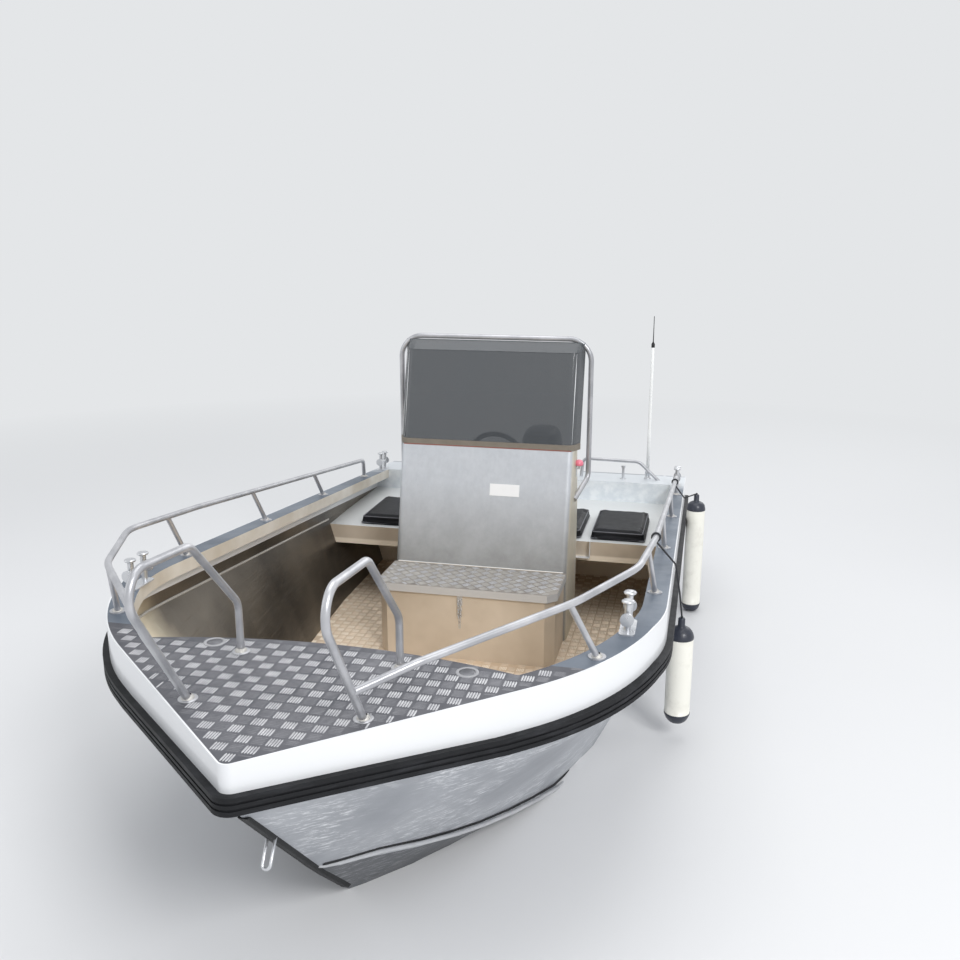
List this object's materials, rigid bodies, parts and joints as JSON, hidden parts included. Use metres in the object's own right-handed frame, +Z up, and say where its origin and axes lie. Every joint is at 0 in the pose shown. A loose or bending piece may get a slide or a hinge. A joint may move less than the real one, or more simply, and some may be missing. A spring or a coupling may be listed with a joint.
{
  "type": "centre console boat",
  "caption": "Open aluminium work boat with V hull, raised tread-plate fore deck, centre console with screen, tube rails and tilting outboard.",
  "frame": {"origin": "on the centreline at the waterline, midway between the bow tip of the deck and the transom", "axes": "+X to port, +Y aft, +Z up; the bow points along -Y"},
  "size_m": [2.3423, 5.3281, 2.61],
  "materials": {
    "bare_aluminium": "mill finish, dulled and water marked",
    "white_paint": "gloss paint",
    "black_rubber": "matt, slightly greyed",
    "tread_plate": "rolled bar pattern, worn bright on the bars",
    "brushed_panel": "brushed",
    "black_vinyl": "coated fabric over foam",
    "trim_strip": "brown strip",
    "tinted_screen": "smoke tinted sheet",
    "rail_tube": "satin tube",
    "bright_steel": "satin",
    "helm_plastic": "black",
    "antenna_white": "white",
    "red_lens": "pink red lens",
    "fender_white": "white with dark ends",
    "black_line": "braided",
    "motor_grey": "dark grey paint",
    "motor_dark": "dark paint"
  },
  "bodies": {
    "hull": {"hull_bow_port": "bare_aluminium", "hull_bow_starboard": "bare_aluminium", "hull_port": "bare_aluminium", "hull_starboard": "bare_aluminium", "sheer_band": "white_paint", "rub_rail": "black_rubber", "fore_deck": "tread_plate", "side_deck_port": "bare_aluminium", "side_deck_starboard": "bare_aluminium", "cockpit_sole": "tread_plate", "fore_bulkhead": "bare_aluminium", "bench": "bare_aluminium", "transom": "bare_aluminium", "motor_well": "bare_aluminium", "cushion_port": "black_vinyl", "cushion_middle": "black_vinyl", "cushion_starboard": "black_vinyl", "console_body": "brushed_panel", "screen_trim": "trim_strip", "windscreen": "tinted_screen", "console_hoop": "rail_tube", "helm": "helm_plastic", "throttle": "helm_plastic", "step_box": "bare_aluminium", "hasp": "bright_steel", "bow_loops": "rail_tube", "bow_rail_port": "rail_tube", "bow_rail_starboard": "rail_tube", "rail_posts": "rail_tube", "stern_rail_port": "rail_tube", "stern_rail_starboard": "rail_tube", "bollard_fore_port": "bright_steel", "bollard_fore_starboard": "bright_steel", "bollard_aft_port": "bright_steel", "bollard_aft_starboard": "bright_steel", "stern_post": "bright_steel", "antenna": "antenna_white", "side_light_port": "red_lens", "bow_eye": "bright_steel", "fender_fore": "fender_white", "fender_aft": "fender_white", "fender_line_fore": "black_line", "fender_line_aft": "black_line", "engine_bracket": "motor_dark"},
    "lid": {"step_lid": "tread_plate"},
    "wheel": {"steering_wheel": "helm_plastic"},
    "tilt_unit": {"swivel_bracket": "motor_dark"},
    "motor": {"engine_leg": "motor_grey", "engine_cowl": "motor_grey"},
    "screw": {"propeller": "motor_dark"}
  },
  "joints": [
    {"name": "lid_hinge", "type": "hinge", "parent": "hull", "child": "lid", "pos_m": [0, 0.584, 0.5275], "axis": [-1, 0, 0], "range_deg": [0, 88]},
    {"name": "motor_tilt", "type": "hinge", "parent": "hull", "child": "tilt_unit", "pos_m": [0, 2.452, 0.262], "axis": [1, 0, 0], "range_deg": [0, 65]},
    {"name": "motor_steer", "type": "hinge", "parent": "tilt_unit", "child": "motor", "pos_m": [0, 2.518, 0.1], "axis": [0, 0, 1], "range_deg": [-35, 35]},
    {"name": "screw_turn", "type": "hinge", "parent": "motor", "child": "screw", "pos_m": [0, 2.794, -0.6], "axis": [0, 1, 0], "continuous": true},
    {"name": "wheel_turn", "type": "hinge", "parent": "hull", "child": "wheel", "pos_m": [0, 0.92792, 1.03], "axis": [0, 0.9827, 0.1854], "range_deg": [-525, 525]}
  ],
  "couplings": [
    {"joint": "wheel_turn", "follows": "motor_steer", "ratio": -15}
  ]
}
